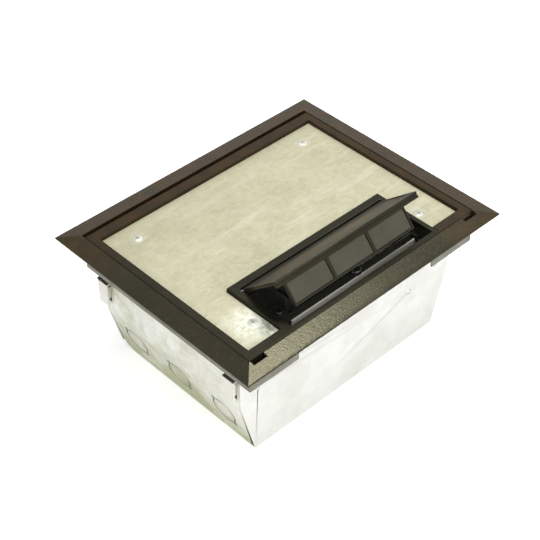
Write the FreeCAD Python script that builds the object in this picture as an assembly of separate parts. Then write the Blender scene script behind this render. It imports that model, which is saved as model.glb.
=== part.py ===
import FreeCAD, Part
import math
import os

# Floor socket box: a folded steel back box hung in a floor by a moulded trim, under a hinged lid whose
# cable flap stands open. Millimetres. X runs along the front edge, Y towards the lid's hinge, Z up.
# The origin is the centre of the base's underside.

# ---- driving dimensions ----
trim_width, trim_depth = 290.0, 234.0        # outer edges of the trim
edge_z = 124.5                               # top of the trim's thin outer edge, above the base
lid_rise = 2.9                               # the trim slopes up this far to meet the lid
border = 16.0                                # width of the sloping border
trim_edge = 1.2                              # thickness of the trim's outer edge
lid_half_x, lid_front_y, lid_back_y = 128.4, -100.3, 97.5
lid_gap = 0.6                                # running gap round the lid, wider along the hinge
sheet = 1.2                                  # galvanised sheet
base_half_x, base_half_y = 108.2, 84.5       # outside of the base
end_slope = 0.267                            # the lower part of each end leans out this much per mm
bend_z = 59.5                                # height where the ends turn upright
well_half_y = 96.2                           # the top of the box is wider, for the flap to swing into
well_low_z, well_high_z = 86.5, 97.5         # the widening's slope
plate_deck_z = 63.5                          # underside of the service plates
plate_gauge = 1.5
rail_drop = 8.3                              # the support rails reach this far below the trim's edge
divider_x = 40.0                             # the two dividers part the box into three
clamp_y = 77.5
flap_angle = 41.0                            # how far the flap stands open
running = 0.05                               # radial room between a plain shank or pin and its hole

# ---- derived dimensions ----
lid_top = edge_z + lid_rise
open_x = lid_half_x + lid_gap                # the trim's aperture
open_front_y = lid_front_y - lid_gap
open_back_y = 101.0
pocket_wall = 2.0
pocket_bottom = edge_z - 8.5
ledge_top = edge_z - 6.3
lid_bottom = ledge_top + 0.15
plate_top = edge_z - 0.5
plate_thick = 2.0
rim_half_x, rim_front_y, rim_back_y = 121.2, -91.6, 87.2
end_top_x = base_half_x + end_slope * bend_z  # outside of the upright end walls
hinge_y, hinge_z = 93.5, edge_z - 1.5
outlet_x0, outlet_x1 = -86.3, 88.0            # the bezel's outer edges
outlet_back_y, outlet_front_y = -29.2, -98.4
throat_x0, throat_x1 = -79.0, 83.0            # the opening that the flap covers
throat_back_y, throat_front_y = -36.8, -95.2
flap_x0, flap_x1 = -78.2, 82.2
flap_axis_y, flap_axis_z = -39.2, edge_z + 1.4
flap_rear_y, flap_front_y = -37.6, -88.0
skirt_x0, skirt_x1 = -71.0, 64.0
bar_front_y, bar_back_y = -82.4, -75.5        # the bar across the throat, and the skirt's slot before it
bar_low, bar_top = edge_z - 13.4, edge_z - 8.0
skirt_depth = 25.5
skirt_thick = 3.5
pocket_depth, flap_pin_radius = 1.8, 1.0
panel_low, panel_high = 1.6, 6.0              # the grey panels stop this far from the skirt's two edges

# ---- where repeated pieces go ----
sides = (-1, 1)
trim_screw_radius = 1.6
clamp_neck = 2.8                              # half the width of a clamp jaw's neck
knockout_ys, knockout_z = (-55.5, 0.0, 55.5), 28.5
base_fixings = [(x, y) for x in (-90, 90) for y in (-60, 60)]
trim_screw_places = [(x, y) for x in (-126.2, 126.2) for y in (-60, 60)]
lid_screw_places = [(x, y) for x in (-95.9, 95.9) for y in (-69.3, 69.3)]
tab_rivets = [(x, z) for x in (-106, 106) for z in (71, 81)]
rail_rivets = [(72.6, 59.0)]
rivet_radius = 1.6
plate_screw_xs = (-100, -50, -28, 28, 50, 100)
plate_screw_y = base_half_y - sheet - 7
earth_y, earth_radius = 62.0, 2.5
jack_ys = (-45, -15, 15, 45)
plate_screw_radius = 1.55
jack_half_x, jack_half_y = 9.7, 8.7
socket_x, socket_y = 76.0, 36.0
socket_body = 59.6
rocker_axis_lift, rocker_pivot = 1.0, 1.0
rocker_offset = 22.0                          # a rocker stands this far outboard of its socket's centre
knob_place, small_screw_place = (10.0, -78.2), (-68.0, -69.5)
bezel_screw_radius = 1.85

V = FreeCAD.Vector


# ---- helpers ----
def box(x0, x1, y0, y1, z0, z1):
    return Part.makeBox(x1 - x0, y1 - y0, z1 - z0, V(x0, y0, z0))


def rod(x, y, z0, z1, radius):
    return Part.makeCylinder(radius, z1 - z0, V(x, y, z0), V(0, 0, 1))


def rod_along_x(x0, x1, y, z, radius):
    return Part.makeCylinder(radius, x1 - x0, V(x0, y, z), V(1, 0, 0))


def rod_along_y(x, z, y0, y1, radius):
    return Part.makeCylinder(radius, y1 - y0, V(x, y0, z), V(0, 1, 0))


def end_box(side, near, far, y0, y1, z0, z1):
    """A box between two distances from the middle, at the left end (-1) or the right end (1)."""
    x0, x1 = sorted((side * near, side * far))
    return box(x0, x1, y0, y1, z0, z1)


def cross_drive(x, y, z0, z1, arm, half_slot):
    """The cross recess in a screw's head."""
    return [box(x - arm, x + arm, y - half_slot, y + half_slot, z0, z1),
            box(x - half_slot, x + half_slot, y - arm, y + arm, z0, z1)]


def prism_x(points, x0, x1):
    """Extrude a (y, z) outline along X."""
    wire = Part.makePolygon([V(x0, y, z) for y, z in points + points[:1]])
    return Part.Face(wire).extrude(V(x1 - x0, 0, 0))


def prism_y(points, y0, y1):
    """Extrude an (x, z) outline along Y."""
    wire = Part.makePolygon([V(x, y0, z) for x, z in points + points[:1]])
    return Part.Face(wire).extrude(V(0, y1 - y0, 0))


def rect_wire(x0, x1, y0, y1, z):
    return Part.makePolygon([V(x0, y0, z), V(x1, y0, z), V(x1, y1, z), V(x0, y1, z), V(x0, y0, z)])


def join(shapes):
    whole = shapes[0]
    if len(shapes) > 1:
        whole = whole.fuse(shapes[1:])
    return whole.removeSplitter()


def mirrored_x(shape):
    return shape.mirror(V(0, 0, 0), V(1, 0, 0))


def turned_half(shape):
    turned = shape.copy()
    turned.rotate(V(0, 0, 0), V(0, 0, 1), 180)
    return turned


def rounded(shape, radius, wanted):
    """Round the edges that the test picks out."""
    edges = [edge for edge in shape.Edges if wanted(edge)]
    return shape.makeFillet(radius, edges) if edges else shape


def spans(edge, axis):
    """True for a straight edge that runs along one axis (0, 1 or 2)."""
    if len(edge.Vertexes) != 2:
        return False
    run = edge.Vertexes[1].Point.sub(edge.Vertexes[0].Point)
    return run.Length > 1e-6 and abs(run[axis]) > 0.999 * run.Length


def save(name, shape):
    shape.exportStep("parts/" + name + ".step")


# ---- back box ----
def end_outline(inset):
    """Section of the box across its ends: sloped below, upright above. Inset moves every face inwards."""
    lean = math.hypot(1, end_slope)
    foot = base_half_x - inset * lean + end_slope * inset
    knee_z = bend_z + inset * (lean - 1) / end_slope
    knee = end_top_x - inset
    top = pocket_bottom
    return [(-knee, top), (-knee, knee_z), (-foot, inset),
            (foot, inset), (knee, knee_z), (knee, top)]


def side_outline(inset):
    """Section of the box from front to back: upright, with the wider well at the top."""
    low, wide = base_half_y - inset, well_half_y - inset
    top = pocket_bottom
    return [(-wide, top), (-wide, well_high_z), (-low, well_low_z), (-low, 0),
            (low, 0), (low, well_low_z), (wide, well_high_z), (wide, top)]


def corner_clip():
    """What the clipped bottom corner at the back left takes off."""
    a, b, c = V(-108.4, 70.3, 0), V(-110.3, 84.6, 8.0), V(-99.0, 84.6, 0)
    face = Part.Face(Part.makePolygon([a, b, c, a]))
    outward = face.normalAt(0, 0)
    if outward.x > 0:
        outward = outward.negative()
    return face.extrude(outward * 20)


def knockout_cuts():
    """Three conduit knockouts in a sloped end: a pierced ring held by two bridges, and a scored ring."""
    disc, groove = 12.0, 1.1
    score, score_width, score_depth = 9.6, 0.7, 0.5
    pry_hole = 1.4
    bridges = (45, 225)
    tilt = math.degrees(math.atan(end_slope))
    cuts = []
    for y in knockout_ys:
        ring = rod(0, 0, -3, 3, disc + groove).cut(rod(0, 0, -3, 3, disc))
        pries = []
        for turn in bridges:
            bridge = box(disc - 3, disc + 4, -1.5, 1.5, -4, 4)
            bridge.rotate(V(0, 0, 0), V(0, 0, 1), turn)
            ring = ring.cut(bridge)
            out = disc + groove + pry_hole
            pries.append(rod(out * math.cos(math.radians(turn)), out * math.sin(math.radians(turn)),
                             -3, 3, pry_hole))
        scored = rod(0, 0, -score_depth, 1, score + score_width).cut(rod(0, 0, -score_depth, 1, score))
        tool = Part.makeCompound([ring, scored] + pries)
        tool.rotate(V(0, 0, 0), V(0, 1, 0), -90 - tilt)
        tool.translate(V(-(base_half_x + end_slope * knockout_z), y, knockout_z))
        cuts.append(tool)
    return cuts


def back_box_tray():
    """Base and both ends, one folded sheet, with outward top flanges and tabs for the walls."""
    inner_y = base_half_y - sheet
    wide_y = well_half_y - sheet
    above = pocket_bottom + 1
    inside = end_outline(sheet) + [(end_top_x - sheet, above), (-end_top_x + sheet, above)]
    tray = prism_y(end_outline(0), -wide_y, wide_y).cut(prism_y(inside, -wide_y - 1, wide_y + 1))
    tray = tray.common(prism_x(side_outline(sheet), -150, 150))
    tab_reach, tab_low, tab_high = 22.0, 66.0, 86.0
    for side in sides:
        flange = end_box(side, end_top_x - sheet, end_top_x + 10, -wide_y, wide_y, pocket_bottom - sheet,
                         pocket_bottom)
        tab = end_box(side, end_top_x - sheet, end_top_x - tab_reach, inner_y - sheet, inner_y,
                      tab_low, tab_high)
        tabs = [tab, tab.mirror(V(0, 0, 0), V(0, 1, 0))]
        tray = join([tray, flange] + tabs)
        tray = tray.cut(end_seams(side, inner_y) + clamp_slots(side))
    holes = knockout_cuts()
    holes += [mirrored_x(hole) for hole in holes]
    holes += [rod(x, y, -1, 3, 2.75) for x, y in base_fixings]
    holes += [rod(x, y, pocket_bottom - 3, above, trim_screw_radius + running) for x, y in trim_screw_places]
    holes += [rod(0, earth_y, -1, 3, earth_radius + running)]
    return tray.cut(holes + tab_rivet_holes() + [corner_clip()])


def end_seams(side, inner_y):
    """The thin open seams between a sloped end and the two walls."""
    reach = side * (base_half_x - 2)
    low, high = 2.0, bend_z - 4
    wide, narrow = 3.4, 0.8
    seams = []
    for s in sides:
        outline = [(s * (inner_y + 1), low), (s * (inner_y - wide), low),
                   (s * (inner_y - narrow), high), (s * (inner_y + 1), high)]
        seams.append(prism_x(outline, min(reach, side * 130), max(reach, side * 130)))
    return seams


def clamp_slots(side):
    """Slots that the clamp jaws slide up and down in."""
    half = clamp_neck + 0.3
    return [end_box(side, end_top_x - 3, end_top_x + 1, y - half, y + half, 66.5, 99)
            for y in (-clamp_y, clamp_y)]


def tab_rivet_holes():
    return [rod_along_y(x, z, s * base_half_y - 4, s * base_half_y + 4, rivet_radius + running)
            for x, z in tab_rivets for s in sides]


def front_wall():
    """Front wall: a sheet with a joggle near the top and an outward top flange."""
    low, wide, top = base_half_y, well_half_y, pocket_bottom
    flange = wide + 9.8
    outline = [(-low, 0), (-low, well_low_z), (-wide, well_high_z), (-wide, top - sheet),
               (-flange, top - sheet), (-flange, top), (-wide + sheet, top), (-wide + sheet, well_high_z),
               (-low + sheet, well_low_z), (-low + sheet, 0)]
    wall = prism_x(outline, -end_top_x, end_top_x)
    wall = wall.common(prism_y(end_outline(0), -150, 150))
    holes = [rod_along_y(x, z, -low - 4, -low + 4, rivet_radius + running)
             for x, z in tab_rivets + rail_rivets]
    return wall.cut(holes)


def box_rivets():
    """Blind rivets through the walls: four hold each wall to the tabs, one holds its welded plate rail."""
    outer, inner = -base_half_y, -base_half_y + 2 * sheet
    rivets = []
    for x, z in tab_rivets + rail_rivets:
        head = Part.makeCone(3.0, 1.9, 1.0, V(x, outer, z), V(0, -1, 0))
        shank = rod_along_y(x, z, outer, inner, rivet_radius)
        tail = rod_along_y(x, z, inner, inner + 1.4, 2.3)
        rivets.append(join([head, shank, tail]))
    return Part.makeCompound(rivets + [turned_half(r) for r in rivets])


# ---- support under the trim's edge ----
def front_channel(x0, x1, leg_x0):
    """A channel along the front edge: lip, web and inner leg standing on the wall's flange."""
    y_out = -trim_depth / 2 + 0.5
    y_in = open_front_y - pocket_wall - 0.4
    top = edge_z - trim_edge - 0.1
    return [box(x0, x1, y_out, y_out + sheet, edge_z - rail_drop, top),
            box(x0, x1, y_out, y_in, top - sheet, top),
            box(leg_x0, x1, y_in - sheet, y_in, pocket_bottom, top)]


def support_rail():
    """Left rail: runs along the end, stops short of the back, and turns round the front corner."""
    x_out = -trim_width / 2 + 1.9
    x_in = -open_x - pocket_wall - 0.4
    top = edge_z - trim_edge - 0.1
    y_start, y_end = -trim_depth / 2 + 0.5, 77.5
    corner_end = -92.2
    leg_y = open_front_y - pocket_wall - 0.4 - sheet
    along = [box(x_out, x_out + sheet, y_start, y_end, edge_z - rail_drop, top),
             box(x_out, x_in, y_start, y_end, top - sheet, top),
             box(x_in - sheet, x_in, leg_y, y_end, pocket_bottom, top)]
    return join(along + front_channel(x_out, corner_end, x_in - sheet))


def support_lug():
    lug_start, lug_end = 59.5, 108.0
    return join(front_channel(lug_start, lug_end, lug_start))


# ---- trim ----
def trim_frame():
    """Moulded frame: sloping border, a pocket for the lid, and a ledge that the lid lies on."""
    half_x, half_y = trim_width / 2, trim_depth / 2
    top_x, top_y = half_x - border, half_y - border
    slope = Part.makeLoft([rect_wire(-half_x, half_x, -half_y, half_y, edge_z),
                           rect_wire(-top_x, top_x, -top_y, top_y, lid_top)], True, True)
    edge = box(-half_x, half_x, -half_y, half_y, edge_z - trim_edge, edge_z)
    pocket = box(-open_x - pocket_wall, open_x + pocket_wall, open_front_y - pocket_wall,
                 open_back_y + pocket_wall, pocket_bottom, edge_z)
    frame = join([edge, slope, pocket])
    ledge_x, ledge_y = end_top_x - sheet, well_half_y - sheet
    frame = frame.cut([box(-open_x, open_x, open_front_y, open_back_y, ledge_top, lid_top + 1),
                       box(-ledge_x, ledge_x, -ledge_y, ledge_y, pocket_bottom - 1, lid_top),
                       box(-open_x, open_x, ledge_y - 1, open_back_y, ledge_top - 0.8, ledge_top + 1)])
    # finger recesses at the lid's two front corners
    recess_reach, recess_depth = 4.7, 3.4
    for x0, x1 in ((-lid_half_x, -114.2), (113.8, lid_half_x)):
        frame = frame.cut(box(x0, x1, open_front_y - recess_reach, open_front_y + 1,
                              edge_z - recess_depth, lid_top + 1))
    for pin in hinge_pin_shapes(hinge_pin_radius + running):
        frame = frame.cut(pin)
    frame = frame.cut(trim_screw_shapes(running))
    border_lines = [e for e in frame.Edges if abs(e.BoundBox.ZMin - edge_z) < 1e-4 and
                    abs(e.BoundBox.ZMax - edge_z) < 1e-4 and e.Length > 200]
    frame = frame.makeFillet(0.5, border_lines)
    mitres = [e for e in frame.Edges if e.BoundBox.ZLength > 2.0 and e.BoundBox.XLength > 14
              and e.BoundBox.YLength > 14]
    return frame.makeFillet(0.4, mitres)


def trim_screw_shapes(room):
    """Countersunk screws through the ledge into the box's end flanges."""
    seat = ledge_top - 1.2
    screws = []
    for x, y in trim_screw_places:
        head = Part.makeCone(trim_screw_radius + room, 2.7 + room, 1.2, V(x, y, seat))
        shank = rod(x, y, pocket_bottom - 5, seat, trim_screw_radius + room)
        screws.append(join([shank, head]))
    return screws


def trim_screws():
    screws = []
    for screw, (x, y) in zip(trim_screw_shapes(0), trim_screw_places):
        screws.append(screw.cut(cross_drive(x, y, ledge_top - 0.7, ledge_top + 1, 1.5, 0.25)))
    return Part.makeCompound(screws)


# ---- inside the box ----
def plate_rail():
    """Angle along the front wall that the service plates are screwed to."""
    back = -base_half_y + sheet
    reach = end_top_x - 16
    top = plate_deck_z - running
    leg, shelf = 9.5, 12.0
    rail = join([box(-reach, reach, back, back + sheet, plate_deck_z - leg, top),
                 box(-reach, reach, back, back + shelf, top - sheet, top)])
    slots = [box(s * divider_x - 1.6, s * divider_x + 1.6, back + sheet + 0.2, back + shelf + 1,
                 top - 3, top + 1) for s in sides]
    slopes = prism_y(end_outline(sheet + 0.2), -150, 150)
    holes = [rod(x, -plate_screw_y, top - 3, top + 1, plate_screw_radius + running) for x in plate_screw_xs]
    rivets = [rod_along_y(x, z, back - 1, back + 2, rivet_radius + running) for x, z in rail_rivets]
    return rail.common(slopes).cut(slots + holes + rivets)


def divider(side):
    """Upright sheet between compartments, with a folded foot and a cable notch at the front."""
    x = side * divider_x
    reach = base_half_y - sheet - 0.4
    top, foot_width = 100.0, 12.0
    upright = box(x - sheet / 2, x + sheet / 2, -reach, reach, sheet, top)
    foot = end_box(side, divider_x, divider_x - foot_width, -reach + 16, reach - 16, sheet, 2 * sheet)
    notch = box(x - 3, x + 3, -reach - 1, -reach + 34, 78, top + 1)
    front_rail = box(x - 3, x + 3, -reach - 0.4, -reach + 1.8, plate_deck_z - 10, plate_deck_z + 0.5)
    back_rail = front_rail.mirror(V(0, 0, 0), V(0, 1, 0))
    return join([upright, foot]).cut([notch, front_rail, back_rail])


def service_plate(x0, x1, cutouts):
    y = base_half_y - sheet - 0.6
    plate = box(x0, x1, -y, y, plate_deck_z, plate_deck_z + plate_gauge)
    holes = [rod(x, s * plate_screw_y, plate_deck_z - 1, plate_deck_z + 3, 1.7)
             for x in plate_screw_xs if x0 < x < x1 for s in sides]
    return plate.cut(cutouts + holes)


def data_plate():
    cutouts = [box(-jack_half_x - 0.1, jack_half_x + 0.1, y - jack_half_y - 0.1, y + jack_half_y + 0.1,
                   plate_deck_z - 5, plate_deck_z + 5) for y in jack_ys]
    return service_plate(-divider_x + 1, divider_x - 1, cutouts)


def socket_plate(side):
    x0, x1 = sorted((side * (divider_x + 1), side * (end_top_x - sheet - 13)))
    return service_plate(x0, x1, [socket_cutout(side * socket_x, y) for y in (-socket_y, socket_y)])


def socket_cutout(x, y):
    half = socket_body / 2 + 0.2
    return box(x - half, x + half, y - half, y + half, plate_deck_z - 5, plate_deck_z + 5)


def socket_module(x, y, side):
    """Shuttered three-pin socket with a well for its rocker switch; the body hangs below the plate."""
    deck = plate_deck_z + plate_gauge
    half, lift, hang = 33.0, 4.0, 24.0
    face = box(x - half, x + half, y - half, y + half, deck, deck + lift)
    face = rounded(face, 2.5, lambda e: spans(e, 2))
    face = rounded(face, 1.0, lambda e: abs(e.BoundBox.ZMin - deck - lift) < 1e-4)
    inner = socket_body / 2
    module = join([face, box(x - inner, x + inner, y - inner, y + inner, deck - hang, deck)])
    centre, pin = x - side * 6, 11.0
    floor = deck + 1.5
    slots = [pin_slot(centre + side * pin, y, 4.2, 2.3, floor),
             pin_slot(centre - side * pin, y - pin, 3.6, 2.3, floor),
             pin_slot(centre - side * pin, y + pin, 3.6, 2.3, floor)]
    rocker_x, axis_z = x + side * rocker_offset, deck + rocker_axis_lift
    well = box(rocker_x - 5.6, rocker_x + 5.6, y - 10.2, y + 10.2, deck - 4.6, deck + 5)
    pivots = rod_along_y(rocker_x, axis_z, y - 12, y + 12, rocker_pivot + running)
    return module.cut(slots + [well, pivots])


def pin_slot(x, y, half_x, half_y, floor):
    return box(x - half_x, x + half_x, y - half_y, y + half_y, floor, floor + 4)


def rocker(x, y, side):
    """Rocker switch on its own pivot stubs, tipped towards off."""
    rest_tilt = 7.0
    axis_x, axis_z = x + side * rocker_offset, plate_deck_z + plate_gauge + rocker_axis_lift
    half_x, half_y = 4.9, 9.6
    body = prism_y([(axis_x - half_x, axis_z - 3.0), (axis_x + half_x, axis_z - 3.0),
                    (axis_x + half_x, axis_z + 4.2), (axis_x, axis_z + 3.3),
                    (axis_x - half_x, axis_z + 4.2)], y - half_y, y + half_y)
    body = rounded(body, 0.4, lambda e: e.BoundBox.ZMin > axis_z + 3)
    whole = join([body, rod_along_y(axis_x, axis_z, y - 11.4, y + 11.4, rocker_pivot)])
    whole.rotate(V(axis_x, y, axis_z), V(0, 1, 0), -rest_tilt)
    return whole


def data_jacks():
    """Four shuttered data jacks in the middle plate, each a snap-in block."""
    deck = plate_deck_z + plate_gauge
    lift = 2.2
    jacks = []
    for y in jack_ys:
        block = join([box(-jack_half_x, jack_half_x, y - jack_half_y, y + jack_half_y, deck - 22, deck),
                      box(-12, 12, y - 11, y + 11, deck, deck + lift)])
        block = rounded(block, 0.8, lambda e: abs(e.BoundBox.ZMin - deck - lift) < 1e-4)
        port = join([box(-6.2, 6.2, y - 4.2, y + 4.2, deck + 0.4, deck + 4),
                     box(-2.8, 2.8, y + 4.1, y + 6.2, deck + 0.4, deck + 4)])
        jacks.append(block.cut(port))
    return Part.makeCompound(jacks)


def pan_screw(x, y, seat_z, length, head_radius, head_height, shank_radius):
    head = rod(x, y, seat_z, seat_z + head_height, head_radius)
    head = rounded(head, head_height * 0.55, lambda e: abs(e.BoundBox.ZMin - seat_z - head_height) < 1e-4)
    shank = rod(x, y, seat_z - length, seat_z, shank_radius)
    drive = cross_drive(x, y, seat_z + head_height * 0.35, seat_z + head_height + 1, head_radius * 0.6, 0.35)
    return join([head, shank]).cut(drive)


def plate_screws():
    seat = plate_deck_z + plate_gauge
    screws = [pan_screw(x, s * plate_screw_y, seat, 5, 2.9, 1.8, plate_screw_radius)
              for x in plate_screw_xs for s in sides]
    return Part.makeCompound(screws)


def earth_stud():
    collar = sheet + 1.0
    return join([rod(0, earth_y, 0, 16, earth_radius), rod(0, earth_y, sheet, collar, 5.0)])


def earth_nut():
    seat, across = sheet + 1.0, 4.6
    corners = [V(across * math.cos(math.radians(a)), earth_y + across * math.sin(math.radians(a)), seat)
               for a in range(0, 361, 60)]
    nut = Part.Face(Part.makePolygon(corners)).extrude(V(0, 0, 3.6))
    return nut.cut(rod(0, earth_y, 0, 10, earth_radius + running))


# ---- floor clamps ----
clamp_screw_x = end_top_x - sheet - 6.0
clamp_screw_radius = 2.5
shelf_top = 108.0
jaw_low, jaw_high = 72.0, 84.0


def clamp_shelf(side, y):
    """Angle inside the end wall that carries a clamp screw."""
    wall = end_top_x - sheet
    half = 8.0
    shelf = join([end_box(side, wall, wall - 11, y - half, y + half, shelf_top - sheet, shelf_top),
                  end_box(side, wall, wall - sheet, y - half, y + half, shelf_top - sheet - 6, shelf_top)])
    return shelf.cut(rod(side * clamp_screw_x, y, shelf_top - 3, shelf_top + 1, clamp_screw_radius + running))


def clamp_screw(side, y):
    return pan_screw(side * clamp_screw_x, y, shelf_top, 43, 4.0, 2.6, clamp_screw_radius)


def clamp_jaw(side, y):
    """Nut block inside the box, a neck through the slot, and a folded tongue outside it."""
    wall, block, tongue_half = end_top_x, 4.2, 6.0
    tongue_low, fold_top = 67.5, 91.5
    face, back = wall + 4.5, wall + 6.0
    near, far = clamp_screw_x - block, clamp_screw_x + block
    jaw = join([end_box(side, near, far, y - 4.4, y + 4.4, jaw_low, jaw_high),
                end_box(side, far - 0.2, face + 0.1, y - clamp_neck, y + clamp_neck, jaw_low, jaw_high),
                end_box(side, face, back, y - tongue_half, y + tongue_half, tongue_low, fold_top),
                end_box(side, wall + 0.5, back, y - tongue_half, y + tongue_half, fold_top - 1.5, fold_top)])
    return jaw.cut(rod(side * clamp_screw_x, y, jaw_low - 2, jaw_high + 2, clamp_screw_radius + running))


def clamp_pad(side, y):
    """Dark pad on the jaw's fold, the face that grips the floor's underside."""
    low, high = 91.5, 93.5
    pad = end_box(side, end_top_x + 0.5, end_top_x + 6.4, y - 6.0, y + 6.0, low, high)
    return rounded(pad, 0.5, lambda e: abs(e.BoundBox.ZMin - high) < 1e-4)


# ---- lid ----
hinge_pin_radius = 2.0
lid_screw_radius = 1.85
plate_seat = plate_top - plate_thick


def lid_frame():
    """Moulded lid: raised rim, a ribbed web under the plate and an opening for the outlet."""
    web, rib = 1.8, 1.0
    body = box(-lid_half_x, lid_half_x, lid_front_y, lid_back_y, lid_bottom, lid_top)
    body = rounded(body, 0.8, lambda e: abs(e.BoundBox.ZMin - lid_top) < 1e-4)
    tray = box(-rim_half_x, rim_half_x, rim_front_y, rim_back_y, plate_seat, lid_top + 1)
    hinge_relief = box(-lid_half_x - 1, lid_half_x + 1, hinge_y, lid_back_y + 1, lid_bottom - 1, edge_z - 4.0)
    body = body.cut([tray, hinge_relief])
    # cells under the web, between ribs
    xs = [-118, -88, -44, 0, 44, 88, 118]
    ys = [-24, 4, 32, 60, 84]
    cells = [box(xs[i] + rib, xs[i + 1] - rib, ys[j] + rib, ys[j + 1] - rib, lid_bottom - 1, plate_seat - web)
             for i in range(len(xs) - 1) for j in range(len(ys) - 1)]
    cells += [end_box(side, 92, 117, y0, y1, lid_bottom - 1, plate_seat - web)
              for side in sides for y0, y1 in ((-88, -76), (-62, -26))]
    outlet = box(throat_x0 - 2.6, throat_x1 + 2.6, outlet_front_y - 0.1, throat_back_y + 2.6,
                 lid_bottom - 1, lid_top + 1)
    seat = box(outlet_x0 - 0.1, outlet_x1 + 0.1, outlet_front_y - 0.1, outlet_back_y + 0.1,
               plate_seat, lid_top + 1)
    bosses = [rod(x, y, lid_bottom, plate_seat, 4.5) for x, y in lid_screw_places]
    body = join([body.cut(cells), *bosses])
    holes = [rod(x, y, lid_bottom - 1, plate_top, lid_screw_radius + running) for x, y in lid_screw_places]
    return body.cut([outlet, seat] + hinge_pin_shapes(hinge_pin_radius + 0.02) + holes)


def lid_plate():
    plate = box(-rim_half_x + 0.2, rim_half_x - 0.2, rim_front_y + 0.2, rim_back_y - 0.2,
                plate_seat, plate_top)
    notch = box(outlet_x0 - 0.5, outlet_x1 + 0.5, rim_front_y - 1, outlet_back_y + 0.5,
                plate_top - 5, plate_top + 1)
    holes = [rod(x, y, plate_top - 4, plate_top + 1, lid_screw_radius + 0.15) for x, y in lid_screw_places]
    dimples = [Part.makeCone(2.0, 4.4, 1.3, V(x, y, plate_top - 1.2)) for x, y in lid_screw_places]
    return plate.cut([notch] + holes + dimples)


def lid_screws():
    """Raised countersunk screws that hold the plate."""
    head, sink, crown, dome_radius = 4.2, 1.2, 0.9, 10.0
    screws = []
    for x, y in lid_screw_places:
        cone = Part.makeCone(lid_screw_radius + 0.05, head, sink, V(x, y, plate_top - sink))
        dome = Part.makeSphere(dome_radius, V(x, y, plate_top + crown - dome_radius))
        dome = dome.common(rod(x, y, plate_top, plate_top + 2, head))
        shank = rod(x, y, lid_bottom + 0.4, plate_top - sink, lid_screw_radius)
        drive = cross_drive(x, y, plate_top - 0.3, plate_top + 2, 2.4, 0.4)
        screws.append(join([cone, dome, shank]).cut(drive))
    return Part.makeCompound(screws)


def hinge_pin_shapes(radius):
    """A short pin at each end of the lid, half in the lid and half in the trim."""
    pins = []
    for side in sides:
        x0, x1 = sorted((side * 119, side * 131))
        pins.append(rod_along_x(x0, x1, hinge_y, hinge_z, radius))
    return pins


def outlet_bezel():
    """Bezel let into the lid: a flat rim, walls down through the lid, and a bar across the front."""
    wall = 2.5
    x0, x1 = throat_x0 - wall, throat_x1 + wall
    rim = box(outlet_x0, outlet_x1, outlet_front_y, outlet_back_y, plate_seat, lid_top)
    rim = rounded(rim, 0.7, lambda e: abs(e.BoundBox.ZMin - lid_top) < 1e-4)
    front = box(x0, x1, outlet_front_y, throat_front_y + 1, lid_bottom, plate_seat)
    walls = box(x0, x1, throat_front_y + 0.7, throat_back_y + wall, bar_top - 4, plate_seat)
    throat = box(throat_x0, throat_x1, throat_front_y, throat_back_y, bar_low - 1, lid_top + 1)
    body = join([rim, front, walls]).cut(throat)
    inner = [e for e in body.Edges
             if abs(e.BoundBox.ZMin - lid_top) < 1e-4 and abs(e.BoundBox.ZMax - lid_top) < 1e-4
             and e.BoundBox.XMin >= throat_x0 - 0.01 and e.BoundBox.XMax <= throat_x1 + 0.01]
    body = body.makeFillet(0.6, inner)
    cheeks = [box(x0, throat_x0, bar_front_y, bar_back_y, bar_low, bar_top),
              box(throat_x1, x1, bar_front_y, bar_back_y, bar_low, bar_top)]
    bar = box(throat_x0, throat_x1, bar_front_y, bar_back_y, bar_low, bar_top)
    gap = box(54, throat_x1 - 4, bar_front_y - 1, bar_back_y - 1.2, bar_low - 1, bar_top + 1)
    knob_x, knob_y = knob_place
    boss = rod(knob_x, knob_y, bar_top - 4, bar_top + 0.6, 6.2)
    boss = boss.common(box(knob_x - 10, knob_x + 10, bar_front_y, knob_y + 10, 0, lid_top))
    corner_pad = box(throat_x0 - 1, throat_x0 + 15, bar_front_y, -63, bar_top - 4, bar_top)
    body = join([body, bar.cut(gap), boss, corner_pad] + cheeks)
    holes = [rod(x, y, bar_low - 1, bar_top + 5, bezel_screw_radius + running)
             for x, y in (knob_place, small_screw_place)]
    pivots = rod_along_x(throat_x0 - 2.2, throat_x1 + 2.2, flap_axis_y, flap_axis_z, 1.55)
    return body.cut(holes + [pivots])


def cable_strip():
    """Grey strip bonded to the front of the bar, which the leads are pressed against."""
    return box(-67.0, 76.0, bar_front_y - 1.2, bar_front_y, bar_low, bar_top - 0.1)


def bezel_screws():
    """Black fixings in the outlet: a broad domed one on the bar and a small one at its left end."""
    knob = pan_screw(*knob_place, bar_top + 0.6, 4.4, 5.2, 4.0, bezel_screw_radius)
    small = pan_screw(*small_screw_place, bar_top, 4.0, 3.4, 2.2, bezel_screw_radius)
    return Part.makeCompound([knob, small])


# ---- flap ----
def opened(shape):
    """Turn a flap piece from shut to the angle it stands at."""
    turned = shape.copy()
    turned.rotate(V(0, flap_axis_y, flap_axis_z), V(-1, 0, 0), flap_angle)
    return turned


def flap_panels():
    """Left and right edges of the three panels in the skirt."""
    pitch = (skirt_x1 - skirt_x0) / 3
    return [(skirt_x0 + i * pitch + 1.6, skirt_x0 + (i + 1) * pitch - 1.6) for i in range(3)]


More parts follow.
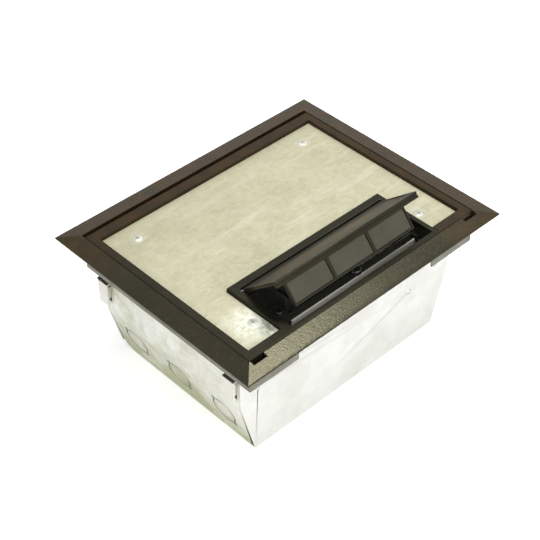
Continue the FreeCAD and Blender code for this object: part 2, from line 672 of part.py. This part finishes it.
def flap_shell():
    """Flap shut: a dished top, a fascia along its front edge and a deeper skirt with three pockets."""
    top = box(flap_x0, flap_x1, flap_front_y, flap_rear_y, lid_top - 3.0, lid_top)
    dish_radius, dish_depth = 286.0, 0.7
    dish = rod_along_x(flap_x0 + 2, flap_x1 - 2, -63, lid_top - dish_depth + dish_radius, dish_radius)
    fascia = box(flap_x0, flap_x1, flap_front_y, flap_front_y + skirt_thick, lid_top - 5.7, lid_top)
    skirt = box(skirt_x0, skirt_x1, flap_front_y, flap_front_y + skirt_thick, lid_top - skirt_depth, lid_top)
    shell = join([top, fascia, skirt])
    ridge = [e for e in shell.Edges if spans(e, 0) and abs(e.BoundBox.ZMin - lid_top) < 1e-4
             and abs(e.BoundBox.YMin - flap_front_y) < 1e-4]
    shell = shell.makeFillet(1.0, ridge).cut(dish)
    groove = box(flap_x0 - 1, flap_x1 + 1, flap_front_y - 1, flap_front_y + 0.6, lid_top - 3.4, lid_top - 2.6)
    pockets = [box(x0, x1, flap_front_y - 1, flap_front_y + pocket_depth,
                   lid_top - skirt_depth + panel_low, lid_top - panel_high) for x0, x1 in flap_panels()]
    return opened(shell.cut([groove] + pockets + flap_pin_shapes(flap_pin_radius + 0.02)))


def flap_pads():
    """Grey panels set into the skirt's pockets."""
    pads = []
    for x0, x1 in flap_panels():
        face = flap_front_y + 0.7
        pad = box(x0 + 0.1, x1 - 0.1, face, flap_front_y + pocket_depth,
                  lid_top - skirt_depth + panel_low + 0.1, lid_top - panel_high - 0.1)
        pad = rounded(pad, 0.4, lambda e: abs(e.BoundBox.YMax - face) < 1e-4)
        pads.append(opened(pad))
    return Part.makeCompound(pads)


def flap_pin_shapes(radius):
    """A thin pin at each end of the flap, which runs in the bezel's side walls."""
    return [rod_along_x(throat_x0 - 2.0, flap_x0 + 8.9, flap_axis_y, flap_axis_z, radius),
            rod_along_x(flap_x1 - 8.9, throat_x1 + 2.0, flap_axis_y, flap_axis_z, radius)]


def flap_pins():
    return Part.makeCompound([opened(pin) for pin in flap_pin_shapes(flap_pin_radius)])


# ---- write every piece ----
os.makedirs("parts", exist_ok=True)
save("back_box_tray", back_box_tray())
save("front_wall", front_wall())
save("back_wall", turned_half(front_wall()).cut(corner_clip()))
save("box_rivets", box_rivets())
save("support_rail_left", support_rail())
save("support_rail_right", turned_half(support_rail()))
save("support_lug_front", support_lug())
save("support_lug_back", turned_half(support_lug()))
save("trim_frame", trim_frame())
save("trim_screws", trim_screws())
save("plate_rail_front", plate_rail())
save("plate_rail_back", turned_half(plate_rail()))
save("divider_left", divider(-1))
save("divider_right", divider(1))
save("earth_stud", earth_stud())
save("earth_nut", earth_nut())
save("plate_screws", plate_screws())
save("data_jacks", data_jacks())
save("data_plate", data_plate())
for side, side_name in ((-1, "left"), (1, "right")):
    save("socket_plate_" + side_name, socket_plate(side))
    for end, end_name in ((-1, "front"), (1, "back")):
        name = side_name + "_" + end_name
        clamp_at = end * clamp_y
        save("socket_" + name, socket_module(side * socket_x, end * socket_y, side))
        save("rocker_" + name, rocker(side * socket_x, end * socket_y, side))
        save("clamp_shelf_" + name, clamp_shelf(side, clamp_at))
        save("clamp_screw_" + name, clamp_screw(side, clamp_at))
        save("clamp_jaw_" + name, clamp_jaw(side, clamp_at))
        save("clamp_pad_" + name, clamp_pad(side, clamp_at))
save("lid_frame", lid_frame())
save("lid_plate", lid_plate())
save("lid_screws", lid_screws())
save("lid_hinge_pins", Part.makeCompound(hinge_pin_shapes(hinge_pin_radius)))
save("outlet_bezel", outlet_bezel())
save("cable_strip", cable_strip())
save("bezel_screws", bezel_screws())
save("flap_shell", flap_shell())
save("flap_pads", flap_pads())
save("flap_pins", flap_pins())
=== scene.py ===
import bpy
import bmesh
import math
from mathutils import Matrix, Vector

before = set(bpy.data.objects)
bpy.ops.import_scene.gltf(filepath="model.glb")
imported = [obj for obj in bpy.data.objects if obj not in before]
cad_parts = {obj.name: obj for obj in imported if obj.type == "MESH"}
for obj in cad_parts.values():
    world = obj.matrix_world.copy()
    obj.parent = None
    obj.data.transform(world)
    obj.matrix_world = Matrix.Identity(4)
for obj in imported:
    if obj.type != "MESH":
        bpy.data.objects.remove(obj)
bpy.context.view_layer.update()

# ---- Back box ----
# The tray is one galvanised sheet folded up at both ends, and the front and back walls are two more,
# riveted to its tabs. The zinc is pale and cloudy, with faint crystals and rolling lines in it.


class Field:
    """A number, colour or vector that changes over a surface: a socket of one material."""

    def __init__(self, tree, socket=None):
        self.tree = tree
        self.socket = socket

    def node(self, kind, settings=None, sockets=None, output=0):
        """Add a node. Its settings come first, then the values or links of its sockets."""
        made = self.tree.nodes.new("ShaderNode" + kind)
        for name, value in (settings or {}).items():
            setattr(made, name, value)
        for name, value in (sockets or {}).items():
            socket = made.inputs[name]
            if isinstance(value, Field):
                self.tree.links.new(value.socket, socket)
            elif socket.type == "RGBA":
                socket.default_value = (*value, 1)
            else:
                socket.default_value = value
        return Field(self.tree, made.outputs[output]) if len(made.outputs) else self

    def maths(self, operation, *values):
        """A Math node on these values, which may be fields or plain numbers."""
        return self.node("Math", {"operation": operation}, dict(enumerate(values)))

    def __add__(self, other):
        return self.maths("ADD", self, other)

    def __sub__(self, other):
        return self.maths("SUBTRACT", self, other)

    def __rsub__(self, other):
        return self.maths("SUBTRACT", other, self)

    def __mul__(self, other):
        return self.maths("MULTIPLY", self, other)

    __radd__ = __add__
    __rmul__ = __mul__

    def step(self, start, end):
        """0 where this is below start, 1 above end, and smooth between."""
        return self.node("MapRange", {"interpolation_type": "SMOOTHSTEP"},
                         {"Value": self, "From Min": start, "From Max": end})

    def blend(self, first, second):
        """The first colour where this is 0, the second where it is 1."""
        return self.node("Mix", {"data_type": "RGBA"}, {0: self, 6: first, 7: second}, 2)

    def stretched(self, x, y, z):
        """The place scaled along each axis. A pattern on it is drawn out where the factor is small."""
        return self.node("VectorMath", {"operation": "MULTIPLY"}, {0: self, 1: (x, y, z)})

    def noise(self, size, detail=3.0, roughness=0.5):
        """Clouds of about this size in metres."""
        return self.node("TexNoise", {}, {"Vector": self, "Scale": 1 / size, "Detail": detail,
                                          "Roughness": roughness})

    def cells(self, size, output="Distance", feature="F1"):
        """A pattern of irregular cells of about this size in metres."""
        return self.node("TexVoronoi", {"feature": feature}, {"Vector": self, "Scale": 1 / size}, output)

    def part(self, axis):
        """One coordinate of a vector."""
        return self.node("SeparateXYZ", {}, {0: self}, axis)


def new_finish(name):
    """An empty material: its surface, and the place on it in the object's own metres."""
    material = bpy.data.materials.new(name)
    material.use_nodes = True
    tree = material.node_tree
    tree.nodes.clear()
    place = Field(tree).node("TexCoord", output="Object")
    return material, place


def coat(material, place, fixed, colour, roughness, height, relief):
    """Close a material: fixed shader values, colour, roughness, and a bump of that relief in metres."""
    bump = place.node("Bump", {}, {"Height": height, "Distance": relief, "Strength": 1.0})
    shader = place.node("BsdfPrincipled", {},
                        {"Base Color": colour, "Roughness": roughness, **fixed, "Normal": bump})
    place.node("OutputMaterial", {}, {"Surface": shader})
    return material


def dress(material, *nodes):
    """Give whole pieces this material."""
    for name in nodes:
        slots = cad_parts[name].data.materials
        if len(slots) == 0:
            slots.append(material)
        for index in range(len(slots)):
            slots[index] = material


def soften(width, *nodes):
    """Break the sharp edges of hard pieces, as folding, punching and moulding leave them."""
    same_point = 0.000004
    sharp_from = math.radians(40)
    for name in nodes:
        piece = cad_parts[name]
        weld = piece.modifiers.new("weld", "WELD")
        weld.merge_threshold = same_point
        bevel = piece.modifiers.new("edges", "BEVEL")
        bevel.width = width
        bevel.segments = 2
        bevel.limit_method = "ANGLE"
        bevel.angle_limit = sharp_from


def shaded_grimy_slots(place):
    """1 along the pierced rings of the conduit knockouts: grime on the raw cut edges and painted shade
    in the slots.
    """
    pitch, middle_height, slope_length = 0.0555, 0.0285, 1.035
    ring_radius, ring_half, bridge_half, fade = 0.0126, 0.0011, 0.0018, 0.0004
    pry_radius, pry_half = 0.0145, 0.0024
    diagonal = math.sqrt(0.5)
    across = place.maths("WRAP", place.part(1), pitch / 2, -pitch / 2)
    up = slope_length * (place.part(2) - middle_height)
    radius = place.maths("SQRT", across * across + up * up)
    along = place.maths("ABSOLUTE", diagonal * (across + up))
    off = place.maths("ABSOLUTE", diagonal * (across - up))
    from_ring = place.maths("ABSOLUTE", radius - ring_radius)
    ring = (1 - from_ring.step(ring_half * 0.5, ring_half)) * off.step(bridge_half - fade, bridge_half)
    to_pry = place.maths("SQRT", (along - pry_radius) * (along - pry_radius) + off * off)
    pry = 1 - to_pry.step(pry_half * 0.8, pry_half)
    return place.maths("MAXIMUM", ring, pry)


def zinc_sheet(name, pale, dull, metal, bottom_darkening=0.6, pierced=False):
    """Galvanised sheet: two shades of zinc in clouds and crystals, darker towards the bottom."""
    crystal_size = 0.009
    warmed = tuple(part * share for part, share in zip(pale, (0.95, 0.89, 0.86)))
    grime_and_shade = (0.040, 0.040, 0.030)
    material, place = new_finish(name)
    clouds = place.noise(0.045, 4, 0.6)
    crystals = place.cells(crystal_size, "Color").part(0)
    edges = place.cells(crystal_size, "Distance", "DISTANCE_TO_EDGE").step(0.0, 0.05)
    lines = place.stretched(0.05, 0.05, 1.0).noise(0.0016, 2, 0.6)
    specks = place.noise(0.0012, 2, 0.7).step(0.66, 0.78)
    # The sheet is made darker towards the bottom.
    low = 1 - (place.part(2) + 0.03 * place.noise(0.03)).step(0.006, 0.072)
    tarnish = (clouds.step(0.40, 0.66) * 0.42 + crystals * 0.20 + lines.step(0.4, 0.7) * 0.18
               + specks * 0.3 + (1 - edges) * 0.08 + low * bottom_darkening)
    warm_patches = place.noise(0.026, 4, 0.55).step(0.48, 0.66) * 0.5
    colour = tarnish.blend(warm_patches.blend(pale, warmed), dull)
    if pierced:
        # The knockout rings are painted dark: grime on the cut edges and painted shade in the slots.
        colour = (shaded_grimy_slots(place) * 0.6).blend(colour, grime_and_shade)
    height = crystals * 0.25 + lines * 0.2 + place.noise(0.02) * 3.0
    return coat(material, place, {"Metallic": metal}, colour, 0.36 + 0.16 * clouds + 0.12 * crystals,
                height, 0.00006)


galvanised_box = zinc_sheet("galvanised_box", pale=(0.93, 0.935, 0.875), dull=(0.46, 0.475, 0.295),
                            metal=0.10, bottom_darkening=0.75, pierced=True)
dress(galvanised_box, "back_box_tray")
galvanised_wall = zinc_sheet("galvanised_wall", pale=(0.87, 0.88, 0.85), dull=(0.70, 0.71, 0.64),
                             metal=0.08, bottom_darkening=0.35)
dress(galvanised_wall, "front_wall", "back_wall")
soften(0.0003, "back_box_tray", "front_wall", "back_wall")

# ---- Box rivets ----
# Blind rivets of plain zinc-plated steel, pulled through the walls and the tray's tabs. The trim's
# screws, the plates' screws and the earth stud's nut have the same bright plating, a little worn.
bright_zinc, place = new_finish("bright_zinc")
wear_and_sheen = place.noise(0.0015, 4, 0.65)
coat(bright_zinc, place, {"Metallic": 0.85}, wear_and_sheen.blend((0.70, 0.70, 0.67), (0.42, 0.42, 0.39)),
     0.30 + 0.3 * wear_and_sheen, wear_and_sheen, 0.00008)
dress(bright_zinc, "box_rivets", "trim_screws", "earth_nut", "plate_screws")

# ---- Support rails and lugs ----
# Steel strip folded to a lip, a web and an inner leg, which stands on the box's flange and stiffens
# the trim's edge. It is painted a dark greenish grey, as painted shade under the trim.
# The rails' dark colour is painted shade from the trim over them.
rail_steel = zinc_sheet("rail_steel", pale=(0.190, 0.188, 0.138), dull=(0.11, 0.109, 0.076), metal=0.12)
supports = ["support_rail_left", "support_rail_right", "support_lug_front", "support_lug_back"]
dress(rail_steel, *supports)
soften(0.00025, *supports)

# ---- Trim ----
# One moulding of dark brown nylon with mitred corners. Its border is grained like leather to hide
# scuffs, and years of feet leave the grain's tops a little polished.


def moulded(name, dark, light, grain, relief, gloss, level=0.35, side_light_share=0.0, shade_below=None,
            painted_sheen_colour=None):
    """Moulded plastic: a leather grain, with cloudy scuffs and pale scratches over it.

    The back and right sides are painted browner, as painted light for how the light falls on them.
    Below a given height it is painted one flat, paler black, as painted shade in a throat, and a band
    along the flap's pins is painted a brown sheen, as a painted reflection on its dished top.
    """
    side_light_brown, throat_shade = (0.044, 0.021, 0.006), (0.024, 0.026, 0.019)
    material, place = new_finish(name)
    pebbles = place.cells(grain, "Distance", "SMOOTH_F1")
    each = place.cells(grain * 1.3, "Color").part(0)
    fine = place.noise(grain * 0.45, 3, 0.6)
    scuffs = place.noise(0.03, 5, 0.65)
    rubbed = place.stretched(1, 0.15, 1).noise(0.004, 3, 0.7).step(0.62, 0.8)
    tone = scuffs.step(0.35, 0.75) * 0.45 + (1 - pebbles) * 0.2 + rubbed * 0.25 + each * 0.25
    # Painted light: the back and right sides are painted browner, for how the light falls there.
    towards_back = place.maths("MAXIMUM", (place.part(1) + 0.04 * scuffs).step(0.055, 0.115),
                               (place.part(0) + 0.04 * scuffs).step(0.085, 0.145))
    side_light = (0.3 + 0.7 * place.noise(0.012, 4, 0.6).step(0.35, 0.65)) * towards_back
    colour = (side_light * side_light_share).blend(tone.blend(dark, light), side_light_brown)
    # Painted reflection: a band along the flap's pins is painted a brown sheen on its dished top.
    if painted_sheen_colour is not None:
        pin_y, pin_z = -0.0392, 0.1259
        back, up = place.part(1) - pin_y, place.part(2) - pin_z
        reach = place.maths("SQRT", back * back + up * up)
        band = reach.step(0.008, 0.018) * (1 - reach.step(0.026, 0.040))
        middle_part = 1 - place.maths("ABSOLUTE", place.part(0)).step(0.030, 0.090)
        smears = place.stretched(0.3, 1, 1).noise(0.006, 4, 0.6)
        wear_and_sheen = band * (0.3 + 0.5 * middle_part) * (0.55 + 0.8 * smears)
        colour = wear_and_sheen.blend(colour, painted_sheen_colour)
    # Painted shade: below that height the plastic is one flat, paler black.
    if shade_below is not None:
        colour = place.part(2).step(shade_below, shade_below + 0.002).blend(throat_shade, colour)
    sheen = {"Specular IOR Level": level, "Specular Tint": (1.0, 0.94, 0.60)}
    return coat(material, place, sheen, colour, gloss + 0.08 * scuffs + 0.06 * fine,
                (1 - pebbles) + fine * 0.4 + each * 0.3, relief)


# The trim's back and right are painted browner, as painted light.
trim_plastic = moulded("trim_plastic", dark=(0.008, 0.0070, 0.0040), light=(0.025, 0.0205, 0.0125),
                       grain=0.0016, relief=0.00007, gloss=0.20, level=0.29, side_light_share=0.8)
dress(trim_plastic, "trim_frame")
soften(0.0003, "trim_frame")

# ---- Plate rails and dividers ----
# Folded zinc angles run along the walls and carry the plates. The dividers are upright zinc sheets,
# which part the power wiring from the data wiring. They are painted dark, as painted shade inside the
# closed box.
inner_zinc = zinc_sheet("inner_zinc", pale=(0.66, 0.66, 0.60), dull=(0.42, 0.42, 0.37), metal=0.35)
dress(inner_zinc, "plate_rail_front", "plate_rail_back")
# The dividers' dark colour is painted shade for the inside of the closed box.
shade_dark_zinc = zinc_sheet("shade_dark_zinc", pale=(0.17, 0.175, 0.155), dull=(0.11, 0.115, 0.10), metal=0.1)
dress(shade_dark_zinc, "divider_left", "divider_right")
soften(0.0002, "plate_rail_front", "plate_rail_back", "divider_left", "divider_right")

# ---- Service plates ----
# Punched steel plates in a fine grey powder coat, one to each compartment. They are screwed down to the
# rails, and handling has dulled them in patches.
plate_coat, place = new_finish("plate_coat")
orange_peel = place.noise(0.0009, 3, 0.6)
handled = place.noise(0.02, 4, 0.6)
coat(plate_coat, place, {"Specular IOR Level": 0.4},
     handled.step(0.4, 0.7).blend((0.30, 0.30, 0.285), (0.22, 0.22, 0.205)),
     0.5 + 0.15 * handled, orange_peel, 0.00012)
dress(plate_coat, "data_plate", "socket_plate_left", "socket_plate_right")

# ---- Sockets and rockers ----
# White moulded modules that snap into the plates, slightly yellowed. Each has its own rocker switch of
# the same plastic, which turns on two stubs.
socket_white, place = new_finish("socket_white")
yellowed = place.noise(0.03, 4, 0.6)
satin = place.noise(0.0007, 2, 0.5)
coat(socket_white, place, {"Specular IOR Level": 0.5},
     yellowed.step(0.35, 0.75).blend((0.78, 0.78, 0.74), (0.70, 0.69, 0.62)),
     0.30 + 0.12 * yellowed, satin, 0.00003)
corners = [f"{side}_{end}" for side in ("left", "right") for end in ("front", "back")]
dress(socket_white, *[f"socket_{c}" for c in corners], *[f"rocker_{c}" for c in corners])

# ---- Data jacks ----
# Blocks with a keyed port, moulded in a mid-grey plastic and a little mottled. They snap into the
# middle plate.
jack_grey, place = new_finish("jack_grey")
mottle = place.noise(0.006, 4, 0.6)
coat(jack_grey, place, {"Specular IOR Level": 0.45},
     mottle.step(0.4, 0.7).blend((0.17, 0.17, 0.165), (0.12, 0.12, 0.115)),
     0.42 + 0.15 * mottle, place.noise(0.0006), 0.00004)
dress(jack_grey, "data_jacks")

# ---- Earth stud ----
# A turned brass stud, pressed through the base and gone brown in places. Its nut is plated steel and
# wears the rivets' finish.
earth_brass, place = new_finish("earth_brass")
tarnish = place.noise(0.003, 4, 0.65)
coat(earth_brass, place, {"Metallic": 1.0},
     tarnish.step(0.35, 0.75).blend((0.72, 0.53, 0.24), (0.40, 0.29, 0.14)),
     0.28 + 0.3 * tarnish, tarnish, 0.00006)
dress(earth_brass, "earth_stud")

# ---- Floor clamps ----
# Near each corner a zinc-plated jaw stands out through a slot, with a dark rubber pad on top. A long
# screw in a shelf inside the box draws it up against the floor's underside.
dress(inner_zinc, *[f"clamp_shelf_{c}" for c in corners])
dress(bright_zinc, *[f"clamp_screw_{c}" for c in corners])
jaw_zinc = zinc_sheet("jaw_zinc", pale=(0.80, 0.80, 0.73), dull=(0.55, 0.55, 0.48), metal=0.3)
dress(jaw_zinc, *[f"clamp_jaw_{c}" for c in corners])
soften(0.0003, *[f"clamp_jaw_{c}" for c in corners])
pad_rubber, place = new_finish("pad_rubber")
dust = place.noise(0.004, 4, 0.7)
coat(pad_rubber, place, {"Specular IOR Level": 0.3},
     dust.step(0.45, 0.75).blend((0.018, 0.017, 0.014), (0.06, 0.056, 0.045)),
     0.65 + 0.2 * dust, place.noise(0.0008, 3, 0.6), 0.00012)
dress(pad_rubber, *[f"clamp_pad_{c}" for c in corners])

# ---- Lid ----
# A brown nylon moulding with a raised rim round a galvanised plate, and ribs below. It turns on two
# short steel pins at the back.
# The lid rim's back and right are painted browner, as painted light.
lid_plastic = moulded("lid_plastic", dark=(0.008, 0.0068, 0.0045), light=(0.021, 0.018, 0.012),
                      grain=0.0012, relief=0.00006, gloss=0.30, level=0.18, side_light_share=0.7)
dress(lid_plastic, "lid_frame")
soften(0.0003, "lid_frame")
dress(bright_zinc, "lid_hinge_pins")

# The plate: spangled zinc, warm and matt, with pale drawn streaks, hairline scratches, a worn patch by
# the outlet's front corner, and a pale ring rubbed round each screw.
lid_steel, place = new_finish("lid_steel")
crystals = place.cells(0.0065, "Color")
shade = crystals.part(0)
clouds = place.noise(0.04, 5, 0.65)
mottle = place.stretched(0.6, 1.0, 1.0).noise(0.0035, 5, 0.75)
streaks = place.stretched(0.12, 1.0, 1.0).noise(0.010, 4, 0.65).step(0.5, 0.75)
tone = shade * 0.16 + clouds.step(0.3, 0.7) * 0.30 + mottle.step(0.3, 0.75) * 0.40
zinc = tone.blend((0.50, 0.476, 0.33), (0.32, 0.305, 0.205))
zinc = (streaks * 0.35).blend(zinc, (0.64, 0.62, 0.50))
for turn, (across, along) in enumerate(((1.0, 0.03), (0.025, 1.0))):
    hairs = place.stretched(across, along, 1.0 + turn).noise(0.0011, 2, 0.5).step(0.68, 0.78)
    zinc = (hairs * 0.45).blend(zinc, (0.74, 0.73, 0.63))


def from_point(place, x, y):
    """Distance over the plate from a point, in metres."""
    flat = place.stretched(1, 1, 0)
    return flat.node("VectorMath", {"operation": "DISTANCE"}, {0: flat, 1: (x, y, 0)}, 1)


worn_x, worn_y = -0.097, -0.072
scuff_x, scuff_y = -0.091, -0.083
screw_x, screw_y = 0.0959, 0.0693
trodden = from_point(place, worn_x, worn_y)
worn = 1 - (trodden + 0.03 * (clouds - 0.5)).step(0.008, 0.030)
zinc = (worn * mottle.step(0.35, 0.6) * 0.75).blend(zinc, (0.74, 0.78, 0.68))
scuffed = 1 - (from_point(place, scuff_x, scuff_y) + 0.012 * (clouds - 0.5)).step(0.003, 0.014)
smears = place.stretched(1, 0.4, 1).noise(0.004, 4, 0.7).step(0.42, 0.58)
zinc = (scuffed * smears * 0.75).blend(zinc, (0.21, 0.235, 0.20))
quarter = place.node("VectorMath", {"operation": "ABSOLUTE"}, {0: place})
to_screw = from_point(quarter, screw_x, screw_y) + 0.002 * (mottle - 0.5)
ring = to_screw.step(0.0048, 0.0056) * (1 - to_screw.step(0.0062, 0.0074))
zinc = (ring * (0.15 + 0.6 * worn)).blend(zinc, (0.70, 0.73, 0.66))
coat(lid_steel, place, {"Metallic": 0.4}, zinc, 0.40 + 0.10 * shade + 0.14 * mottle,
     shade * 0.2 + mottle * 0.6 + place.noise(0.03) * 3.0 - ring * 0.8, 0.00007)
dress(lid_steel, "lid_plate")
soften(0.0002, "lid_plate")

# The plate's screws: pale, dull zinc on raised heads that sit in dimples.
screw_zinc, place = new_finish("screw_zinc")
bloom = place.noise(0.0022, 4, 0.65)
coat(screw_zinc, place, {"Metallic": 0.35},
     bloom.step(0.35, 0.75).blend((0.63, 0.645, 0.565), (0.40, 0.41, 0.35)),
     0.42 + 0.25 * bloom, bloom, 0.00010)
dress(screw_zinc, "lid_screws")

# ---- Outlet bezel ----
# A black moulded frame let into the lid and held by two black screws, one of them broad and domed. A
# bar crosses its front, and its throat is painted one flat, paler black than its face, as painted shade.
# Below this height the bezel's throat is painted one flat colour, as painted shade.
throat_shade_top = 0.1225
outlet_plastic = moulded("outlet_plastic", dark=(0.005, 0.0052, 0.0035), light=(0.016, 0.0155, 0.010),
                         grain=0.0012, relief=0.00005, gloss=0.28, level=0.18, shade_below=throat_shade_top)
dress(outlet_plastic, "outlet_bezel")
soften(0.0002, "outlet_bezel")
black_fixing, place = new_finish("black_fixing")
rub = place.noise(0.002, 4, 0.6)
coat(black_fixing, place, {"Specular IOR Level": 0.6},
     rub.step(0.5, 0.8).blend((0.012, 0.012, 0.011), (0.05, 0.048, 0.042)),
     0.16 + 0.2 * rub, rub, 0.00004)
dress(black_fixing, "bezel_screws")

# ---- Cable flap ----
# A dished black flap on two steel pins, standing open, with grey panels set in the deep skirt below its
# edge. The pale cable strip lies along the front of the outlet's bar and is darker towards the right.
# The flap's dished top gets a painted brown sheen in a band along its pins.
flap_plastic = moulded("flap_plastic", dark=(0.006, 0.0058, 0.0038), light=(0.022, 0.020, 0.0135),
                       grain=0.0012, relief=0.00005, gloss=0.28, level=0.25,
                       painted_sheen_colour=(0.085, 0.060, 0.038))
dress(flap_plastic, "flap_shell")
soften(0.0003, "flap_shell")
panel_grey = moulded("panel_grey", dark=(0.036, 0.035, 0.028), light=(0.066, 0.063, 0.051),
                     grain=0.0012, relief=0.00006, gloss=0.5)
dress(panel_grey, "flap_pads")
strip_grey, place = new_finish("strip_grey")
wipes = place.stretched(0.3, 1, 1).noise(0.004, 4, 0.6)
# The strip is darker towards the right.
darker_right = place.part(0).step(-0.03, 0.07) * 0.6 + wipes * 0.2
coat(strip_grey, place, {"Specular IOR Level": 0.35},
     darker_right.blend((0.88, 0.86, 0.75), (0.26, 0.25, 0.20)),
     0.5 + 0.1 * wipes, wipes, 0.00004)
dress(strip_grey, "cable_strip")
dress(bright_zinc, "flap_pins")

# ---- Studio ----
# A white floor that keeps the shadow, three broad soft lamps, and a pale world. Floor and world are made
# brighter only for the rays that show the background.
floor_radius = 4.0
floor_mesh = bmesh.new()
bmesh.ops.create_circle(floor_mesh, cap_ends=True, segments=64, radius=floor_radius)
floor_data = bpy.data.meshes.new("floor")
floor_mesh.to_mesh(floor_data)
floor_mesh.free()
floor = bpy.data.objects.new("floor", floor_data)
bpy.context.scene.collection.objects.link(floor)
floor_white, place = new_finish("floor_white")


def background_rays(field):
    """1 for the rays that show the background: straight to the camera, mirrored or through glass."""
    straight = field.node("LightPath", output="Is Camera Ray")
    mirrored = field.node("LightPath", output="Is Glossy Ray")
    through = field.node("LightPath", output="Is Transmission Ray")
    return straight + mirrored + through


matt = place.node("BsdfDiffuse", {}, {"Color": (0.82, 0.82, 0.82)})
far_off = place.node("VectorMath", {"operation": "LENGTH"}, {0: place}, 1).step(0.6, 2.5)
glow = place.node("Emission", {}, {"Color": (1, 1, 1),
                                   "Strength": (0.50 + 0.20 * far_off) * background_rays(place)})
place.node("OutputMaterial", {}, {"Surface": place.node("AddShader", {}, {0: matt, 1: glow})})
floor.data.materials.append(floor_white)

world = bpy.data.worlds.new("studio")
bpy.context.scene.world = world
world.use_nodes = True
world.node_tree.nodes.clear()
sky = Field(world.node_tree)
background = sky.node("Background", {}, {"Color": (1, 1, 1),
                                         "Strength": 0.35 + 0.65 * background_rays(sky)})
sky.node("OutputWorld", {}, {"Surface": background})


def lamp(name, spot, aim, size, power):
    """A round soft lamp of this size in metres and power in watts, turned to a point."""
    data = bpy.data.lights.new(name, "AREA")
    data.shape = "DISK"
    data.size = size
    data.energy = power
    light = bpy.data.objects.new(name, data)
    light.location = spot
    light.rotation_euler = (Vector(aim) - Vector(spot)).to_track_quat("-Z", "Y").to_euler()
    bpy.context.scene.collection.objects.link(light)


middle = (-0.05, -0.05, 0.10)
lamp("overhead", (0.52, 0.17, 1.42), middle, size=0.36, power=11.5)
lamp("front", (-0.15, -1.2, 1.15), middle, size=1.4, power=17)
lamp("left", (-1.5, 0.0, 0.8), middle, size=1.0, power=7)

# The camera stands to the left of the front and looks down at about 42 degrees.
camera_data = bpy.data.cameras.new("camera")
camera_data.lens = 91.1
camera_data.sensor_width = 36.0
camera = bpy.data.objects.new("camera", camera_data)
camera.location = (-0.61173, -0.62735, 0.85437)
look = Vector((0.51666, 0.53959, -0.66476))
camera.rotation_euler = look.to_track_quat("-Z", "Y").to_euler()
bpy.context.scene.collection.objects.link(camera)
bpy.context.scene.camera = camera
bpy.context.scene.view_settings.view_transform = "Standard"
